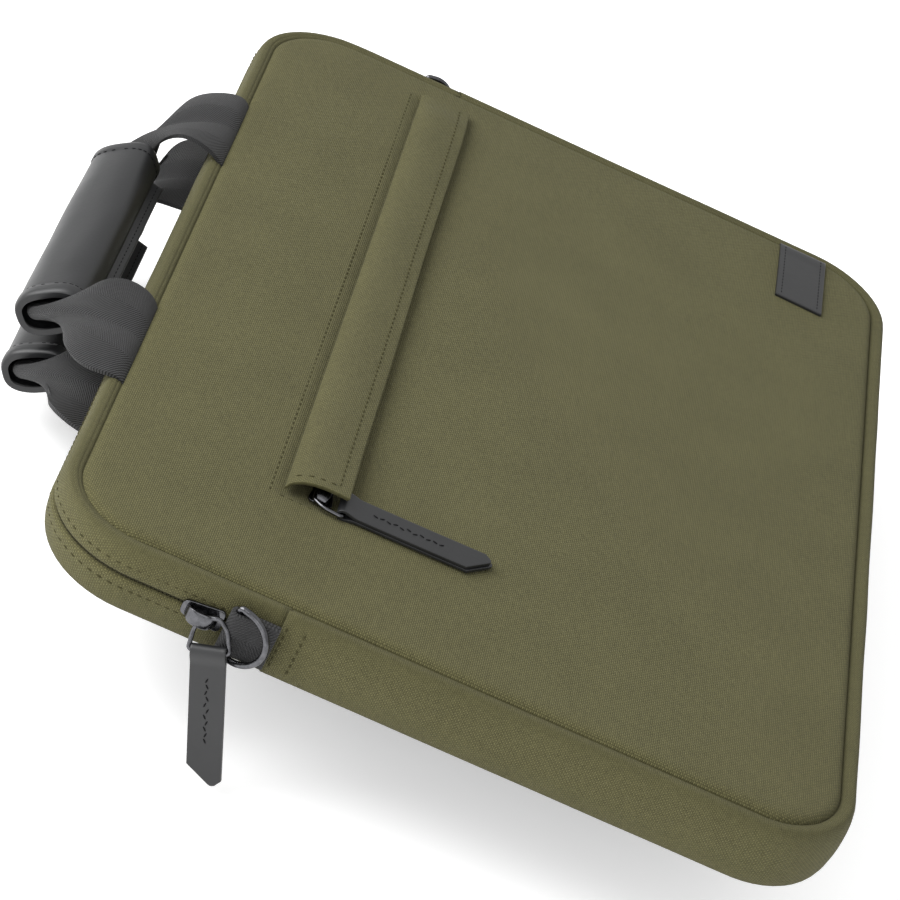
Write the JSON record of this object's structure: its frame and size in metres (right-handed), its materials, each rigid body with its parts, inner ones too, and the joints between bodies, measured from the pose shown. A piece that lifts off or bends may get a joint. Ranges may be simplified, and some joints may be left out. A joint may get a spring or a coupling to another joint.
{
  "type": "laptop sleeve",
  "caption": "Padded canvas laptop sleeve with a zipped mouth, a front zip pocket under a storm flap, drooping leather-gripped handles and D-ring side tabs.",
  "frame": {"origin": "middle of the back face, which the sleeve lies on", "axes": "+X to the sleeve's right side, +Y to its top edge with the handles, +Z out of its front face"},
  "size_m": [0.3892, 0.3099, 0.0732],
  "materials": {
    "canvas": "woven",
    "foam": "foam",
    "lining": "woven",
    "zip_tape": "woven",
    "zip_coil": "satin",
    "leather": "smooth",
    "webbing": "woven",
    "gunmetal": "polished"
  },
  "bodies": {
    "shell": {"back_panel": "canvas", "back_foam": "foam", "back_lining": "lining", "front_panel": "canvas", "front_foam": "foam", "front_lining": "lining", "pocket_bag": "lining", "pocket_zip_tape": "zip_tape", "pocket_zip_coil": "zip_coil", "bottom_gusset": "canvas", "back_zip_gusset": "canvas", "front_gusset_ends": "canvas", "back_zip_tape": "zip_tape", "back_zip_coil": "zip_coil", "label_patch": "leather", "left_ring_tab": "webbing", "right_ring_tab": "webbing"},
    "mouth_flap": {"front_top_panel": "canvas", "front_top_foam": "foam", "front_top_lining": "lining", "front_zip_gusset": "canvas", "front_zip_tape": "zip_tape", "front_zip_coil": "zip_coil"},
    "storm_flap": {"storm_flap": "canvas"},
    "main_slider": {"main_slider": "gunmetal"},
    "main_pull_ring": {"main_pull_ring": "gunmetal"},
    "main_puller": {"main_puller": "leather"},
    "pocket_slider": {"pocket_slider": "gunmetal"},
    "pocket_pull_ring": {"pocket_pull_ring": "gunmetal"},
    "pocket_puller": {"pocket_puller": "leather"},
    "left_d_ring": {"left_d_ring": "gunmetal"},
    "right_d_ring": {"right_d_ring": "gunmetal"},
    "front_handle": {"front_handle_strap": "webbing", "front_handle_grip": "leather"},
    "back_handle": {"back_handle_strap": "webbing", "back_handle_grip": "leather"}
  },
  "joints": [
    {"name": "mouth_opening", "type": "hinge", "parent": "shell", "child": "mouth_flap", "pos_m": [0, 0.075, 0.025], "axis": [1, 0, 0], "range_deg": [0, 30]},
    {"name": "storm_flap_lift", "type": "hinge", "parent": "shell", "child": "storm_flap", "pos_m": [0, 0.0689, 0.0261], "axis": [-1, 0, 0], "range_deg": [0, 90]},
    {"name": "main_slider_travel", "type": "slide", "parent": "shell", "child": "main_slider", "axis": [0, 1, 0], "range_m": [0, 0.016]},
    {"name": "main_pull_ring_swing", "type": "hinge", "parent": "main_slider", "child": "main_pull_ring", "pos_m": [-0.1932, 0.0754, 0.0132], "axis": [1, 0, 0], "range_deg": [0, 27]},
    {"name": "main_puller_lift", "type": "hinge", "parent": "main_pull_ring", "child": "main_puller", "pos_m": [-0.1932, 0.07276, 0.00565], "axis": [0, 0.9438, -0.3305], "range_deg": [0, 80]},
    {"name": "pocket_slider_travel", "type": "slide", "parent": "shell", "child": "pocket_slider", "axis": [1, 0, 0], "range_m": [0, 0.268]},
    {"name": "pocket_pull_ring_swing", "type": "hinge", "parent": "pocket_slider", "child": "pocket_pull_ring", "pos_m": [-0.124, 0.0574, 0.02735], "axis": [0, 0, 1], "range_deg": [-90, 14]},
    {"name": "pocket_puller_lift", "type": "hinge", "parent": "pocket_pull_ring", "child": "pocket_puller", "pos_m": [-0.124, 0.0494, 0.02735], "axis": [-1, 0, 0], "range_deg": [0, 65]},
    {"name": "left_d_ring_swing", "type": "hinge", "parent": "shell", "child": "left_d_ring", "pos_m": [-0.18845, 0.0693, 0.0125], "axis": [0, 0, -1], "range_deg": [0, 14]},
    {"name": "right_d_ring_swing", "type": "hinge", "parent": "shell", "child": "right_d_ring", "pos_m": [0.18845, 0.0693, 0.0125], "axis": [0, 0, 1], "range_deg": [0, 60]},
    {"name": "front_handle_swing", "type": "hinge", "parent": "mouth_flap", "child": "front_handle", "pos_m": [0, 0.1315, 0.027], "axis": [1, 0, 0], "range_deg": [-3, 150]},
    {"name": "back_handle_swing", "type": "hinge", "parent": "shell", "child": "back_handle", "pos_m": [0, 0.1315, -0.002], "axis": [1, 0, 0], "range_deg": [-50, 5]}
  ]
}
